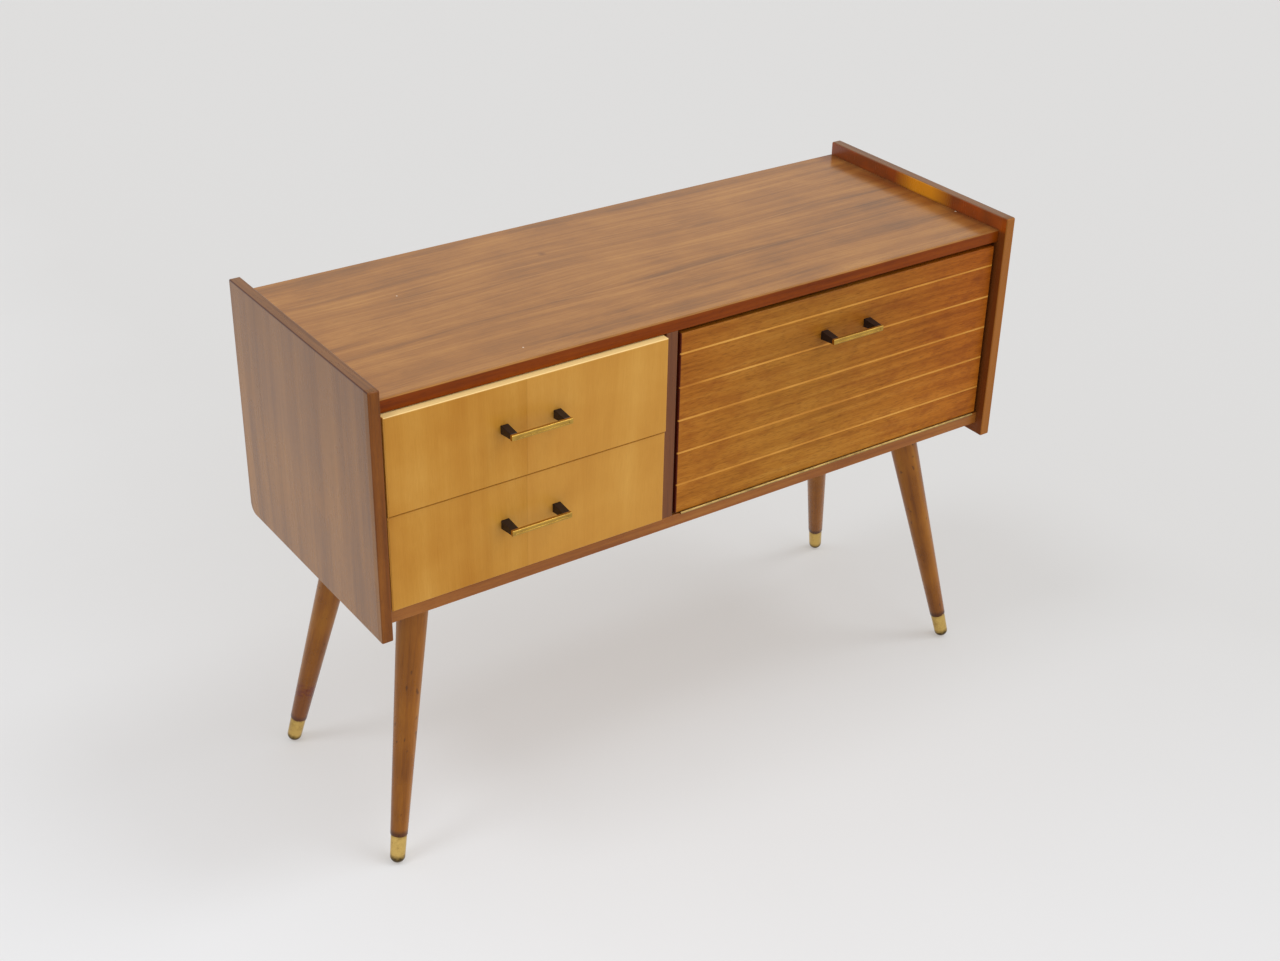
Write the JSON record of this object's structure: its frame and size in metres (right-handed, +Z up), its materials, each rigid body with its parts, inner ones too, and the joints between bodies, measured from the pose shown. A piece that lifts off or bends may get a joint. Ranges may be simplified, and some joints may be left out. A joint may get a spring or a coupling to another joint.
{
  "type": "cabinet",
  "caption": "Low wooden cabinet on splayed tapered legs with brass ferrules, with stacked drawers beside a drop-front flap that hangs on a piano hinge and a slotted stay.",
  "frame": {"origin": "on the floor, under the middle of the whole cabinet's box, handles included", "axes": "+X to the right along the width, -Y out of the front with the drawers and flap, +Z up"},
  "size_m": [0.8, 0.3214, 0.566],
  "materials": {
    "case_veneer": "satin varnished veneer",
    "red_lipping": "satin varnished solid wood",
    "honey_veneer": "satin varnished veneer",
    "flap_veneer": "satin varnished veneer",
    "inlay_wood": "satin varnished line inlay",
    "leg_wood": "satin varnished turned wood",
    "box_wood": "bare planed wood",
    "plywood": "bare thin board",
    "brass": "aged lacquered brass",
    "steel": "plain zinc plated steel",
    "black_plastic": "black moulded plastic",
    "brown_plastic": "brown moulded plastic"
  },
  "bodies": {
    "carcass": {"panel_dowels": "box_wood", "upper_left_runner": "box_wood", "upper_right_runner": "box_wood", "lower_left_runner": "box_wood", "lower_right_runner": "box_wood", "runner_screws": "steel", "hinge_pin": "brass", "hinge_fixed_leaf": "brass", "hinge_fixed_screws": "brass", "front_left_leg": "leg_wood", "front_left_ferrule": "brass", "front_right_leg": "leg_wood", "front_right_ferrule": "brass", "back_left_leg": "leg_wood", "back_left_ferrule": "brass", "back_right_leg": "leg_wood", "back_right_ferrule": "brass", "leg_plates": "steel", "leg_bolts": "steel", "leg_plate_screws": "steel", "stay_stud": "brass", "left_side_panel": "case_veneer", "left_side_lipping": "red_lipping", "right_side_panel": "case_veneer", "right_side_lipping": "red_lipping", "top_panel": "case_veneer", "top_lipping": "red_lipping", "bottom_panel": "case_veneer", "bottom_lipping": "red_lipping", "partition": "case_veneer", "partition_lipping": "red_lipping", "back_panel": "plywood", "catch_housing": "brown_plastic", "catch_magnet": "steel"},
    "upper_drawer": {"upper_drawer_left_side": "box_wood", "upper_drawer_right_side": "box_wood", "upper_handle_bar": "brass", "upper_handle_posts": "black_plastic", "upper_handle_screws": "steel", "upper_drawer_front": "honey_veneer", "upper_drawer_back": "box_wood", "upper_drawer_bottom": "plywood"},
    "lower_drawer": {"lower_drawer_left_side": "box_wood", "lower_drawer_right_side": "box_wood", "lower_handle_bar": "brass", "lower_handle_posts": "black_plastic", "lower_handle_screws": "steel", "lower_drawer_front": "honey_veneer", "lower_drawer_back": "box_wood", "lower_drawer_bottom": "plywood"},
    "flap": {"flap_panel": "flap_veneer", "flap_inlays": "inlay_wood", "flap_handle_bar": "brass", "flap_handle_posts": "black_plastic", "flap_handle_screws": "steel", "hinge_moving_leaf": "brass", "hinge_moving_screws": "brass", "strike_plate": "steel", "stay_bracket": "brass"},
    "stay": {"stay_bar": "brass"}
  },
  "joints": [
    {"name": "upper_drawer_slide", "type": "slide", "parent": "carcass", "child": "upper_drawer", "axis": [0, -1, 0], "range_m": [0, 0.2]},
    {"name": "lower_drawer_slide", "type": "slide", "parent": "carcass", "child": "lower_drawer", "axis": [0, -1, 0], "range_m": [0, 0.2]},
    {"name": "flap_hinge", "type": "hinge", "parent": "carcass", "child": "flap", "pos_m": [0.1685, -0.1318, 0.32285], "axis": [1, 0, 0], "range_deg": [0, 90]},
    {"name": "stay_pivot", "type": "hinge", "parent": "flap", "child": "stay", "pos_m": [0.374, -0.111, 0.44103], "axis": [1, 0, 0], "range_deg": [-45, 0]}
  ],
  "couplings": [
    {"joint": "stay_pivot", "follows": "flap_hinge", "ratio": -0.5}
  ]
}
